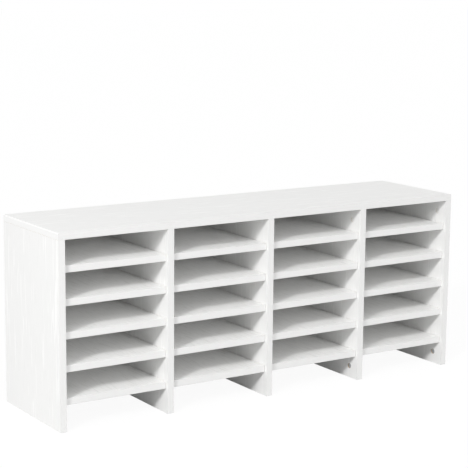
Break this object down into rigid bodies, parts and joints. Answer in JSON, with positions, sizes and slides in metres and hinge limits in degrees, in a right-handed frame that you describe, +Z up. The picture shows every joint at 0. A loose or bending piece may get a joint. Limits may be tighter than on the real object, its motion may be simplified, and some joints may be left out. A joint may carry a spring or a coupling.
{
  "type": "pigeonhole mail sorter",
  "caption": "Wide, low mail sorter: a top panel over uprights, columns of loose pigeonhole shelves on pins, a thin nailed back and an open bay below.",
  "frame": {"origin": "centre of the footprint, on the surface that the uprights stand on", "axes": "+X to the right seen from the front, the open front faces -Y, +Z up"},
  "size_m": [1.266, 0.325, 0.51],
  "materials": {
    "melamine_board": "white melamine on chipboard, fine embossed wood grain, satin",
    "edge_strip": "white glued edging, satin",
    "hardboard_back": "hardboard, white lacquered inside, bare brown behind",
    "plated_steel": "nickel plated",
    "zinc_cam": "die-cast zinc",
    "cap_plastic": "moulded white polyethylene, satin",
    "beech_dowel": "plain beech"
  },
  "bodies": {
    "carcass": {"left_side": "melamine_board", "divider_1": "melamine_board", "divider_2": "melamine_board", "divider_3": "melamine_board", "right_side": "melamine_board", "top_panel": "melamine_board", "left_side_edge": "edge_strip", "divider_1_edge": "edge_strip", "divider_2_edge": "edge_strip", "divider_3_edge": "edge_strip", "right_side_edge": "edge_strip", "top_edge_front": "edge_strip", "top_edge_ends": "edge_strip", "back_panel": "hardboard_back", "shelf_pins": "plated_steel", "cam_locks": "zinc_cam", "cam_caps": "cap_plastic", "cam_bolts": "plated_steel", "dowels": "beech_dowel", "back_panel_nails": "plated_steel"},
    "loose_shelf_c1_r1": {"shelf_c1_r1": "melamine_board", "edge_c1_r1": "edge_strip"},
    "loose_shelf_c1_r2": {"shelf_c1_r2": "melamine_board", "edge_c1_r2": "edge_strip"},
    "loose_shelf_c1_r3": {"shelf_c1_r3": "melamine_board", "edge_c1_r3": "edge_strip"},
    "loose_shelf_c1_r4": {"shelf_c1_r4": "melamine_board", "edge_c1_r4": "edge_strip"},
    "loose_shelf_c1_r5": {"shelf_c1_r5": "melamine_board", "edge_c1_r5": "edge_strip"},
    "loose_shelf_c2_r1": {"shelf_c2_r1": "melamine_board", "edge_c2_r1": "edge_strip"},
    "loose_shelf_c2_r2": {"shelf_c2_r2": "melamine_board", "edge_c2_r2": "edge_strip"},
    "loose_shelf_c2_r3": {"shelf_c2_r3": "melamine_board", "edge_c2_r3": "edge_strip"},
    "loose_shelf_c2_r4": {"shelf_c2_r4": "melamine_board", "edge_c2_r4": "edge_strip"},
    "loose_shelf_c2_r5": {"shelf_c2_r5": "melamine_board", "edge_c2_r5": "edge_strip"},
    "loose_shelf_c3_r1": {"shelf_c3_r1": "melamine_board", "edge_c3_r1": "edge_strip"},
    "loose_shelf_c3_r2": {"shelf_c3_r2": "melamine_board", "edge_c3_r2": "edge_strip"},
    "loose_shelf_c3_r3": {"shelf_c3_r3": "melamine_board", "edge_c3_r3": "edge_strip"},
    "loose_shelf_c3_r4": {"shelf_c3_r4": "melamine_board", "edge_c3_r4": "edge_strip"},
    "loose_shelf_c3_r5": {"shelf_c3_r5": "melamine_board", "edge_c3_r5": "edge_strip"},
    "loose_shelf_c4_r1": {"shelf_c4_r1": "melamine_board", "edge_c4_r1": "edge_strip"},
    "loose_shelf_c4_r2": {"shelf_c4_r2": "melamine_board", "edge_c4_r2": "edge_strip"},
    "loose_shelf_c4_r3": {"shelf_c4_r3": "melamine_board", "edge_c4_r3": "edge_strip"},
    "loose_shelf_c4_r4": {"shelf_c4_r4": "melamine_board", "edge_c4_r4": "edge_strip"},
    "loose_shelf_c4_r5": {"shelf_c4_r5": "melamine_board", "edge_c4_r5": "edge_strip"}
  },
  "joints": [
    {"name": "shelf_c1_r1_slide", "type": "slide", "parent": "carcass", "child": "loose_shelf_c1_r1", "axis": [0, -1, 0], "range_m": [0, 0.33]},
    {"name": "shelf_c1_r2_slide", "type": "slide", "parent": "carcass", "child": "loose_shelf_c1_r2", "axis": [0, -1, 0], "range_m": [0, 0.33]},
    {"name": "shelf_c1_r3_slide", "type": "slide", "parent": "carcass", "child": "loose_shelf_c1_r3", "axis": [0, -1, 0], "range_m": [0, 0.33]},
    {"name": "shelf_c1_r4_slide", "type": "slide", "parent": "carcass", "child": "loose_shelf_c1_r4", "axis": [0, -1, 0], "range_m": [0, 0.33]},
    {"name": "shelf_c1_r5_slide", "type": "slide", "parent": "carcass", "child": "loose_shelf_c1_r5", "axis": [0, -1, 0], "range_m": [0, 0.33]},
    {"name": "shelf_c2_r1_slide", "type": "slide", "parent": "carcass", "child": "loose_shelf_c2_r1", "axis": [0, -1, 0], "range_m": [0, 0.33]},
    {"name": "shelf_c2_r2_slide", "type": "slide", "parent": "carcass", "child": "loose_shelf_c2_r2", "axis": [0, -1, 0], "range_m": [0, 0.33]},
    {"name": "shelf_c2_r3_slide", "type": "slide", "parent": "carcass", "child": "loose_shelf_c2_r3", "axis": [0, -1, 0], "range_m": [0, 0.33]},
    {"name": "shelf_c2_r4_slide", "type": "slide", "parent": "carcass", "child": "loose_shelf_c2_r4", "axis": [0, -1, 0], "range_m": [0, 0.33]},
    {"name": "shelf_c2_r5_slide", "type": "slide", "parent": "carcass", "child": "loose_shelf_c2_r5", "axis": [0, -1, 0], "range_m": [0, 0.33]},
    {"name": "shelf_c3_r1_slide", "type": "slide", "parent": "carcass", "child": "loose_shelf_c3_r1", "axis": [0, -1, 0], "range_m": [0, 0.33]},
    {"name": "shelf_c3_r2_slide", "type": "slide", "parent": "carcass", "child": "loose_shelf_c3_r2", "axis": [0, -1, 0], "range_m": [0, 0.33]},
    {"name": "shelf_c3_r3_slide", "type": "slide", "parent": "carcass", "child": "loose_shelf_c3_r3", "axis": [0, -1, 0], "range_m": [0, 0.33]},
    {"name": "shelf_c3_r4_slide", "type": "slide", "parent": "carcass", "child": "loose_shelf_c3_r4", "axis": [0, -1, 0], "range_m": [0, 0.33]},
    {"name": "shelf_c3_r5_slide", "type": "slide", "parent": "carcass", "child": "loose_shelf_c3_r5", "axis": [0, -1, 0], "range_m": [0, 0.33]},
    {"name": "shelf_c4_r1_slide", "type": "slide", "parent": "carcass", "child": "loose_shelf_c4_r1", "axis": [0, -1, 0], "range_m": [0, 0.33]},
    {"name": "shelf_c4_r2_slide", "type": "slide", "parent": "carcass", "child": "loose_shelf_c4_r2", "axis": [0, -1, 0], "range_m": [0, 0.33]},
    {"name": "shelf_c4_r3_slide", "type": "slide", "parent": "carcass", "child": "loose_shelf_c4_r3", "axis": [0, -1, 0], "range_m": [0, 0.33]},
    {"name": "shelf_c4_r4_slide", "type": "slide", "parent": "carcass", "child": "loose_shelf_c4_r4", "axis": [0, -1, 0], "range_m": [0, 0.33]},
    {"name": "shelf_c4_r5_slide", "type": "slide", "parent": "carcass", "child": "loose_shelf_c4_r5", "axis": [0, -1, 0], "range_m": [0, 0.33]}
  ]
}
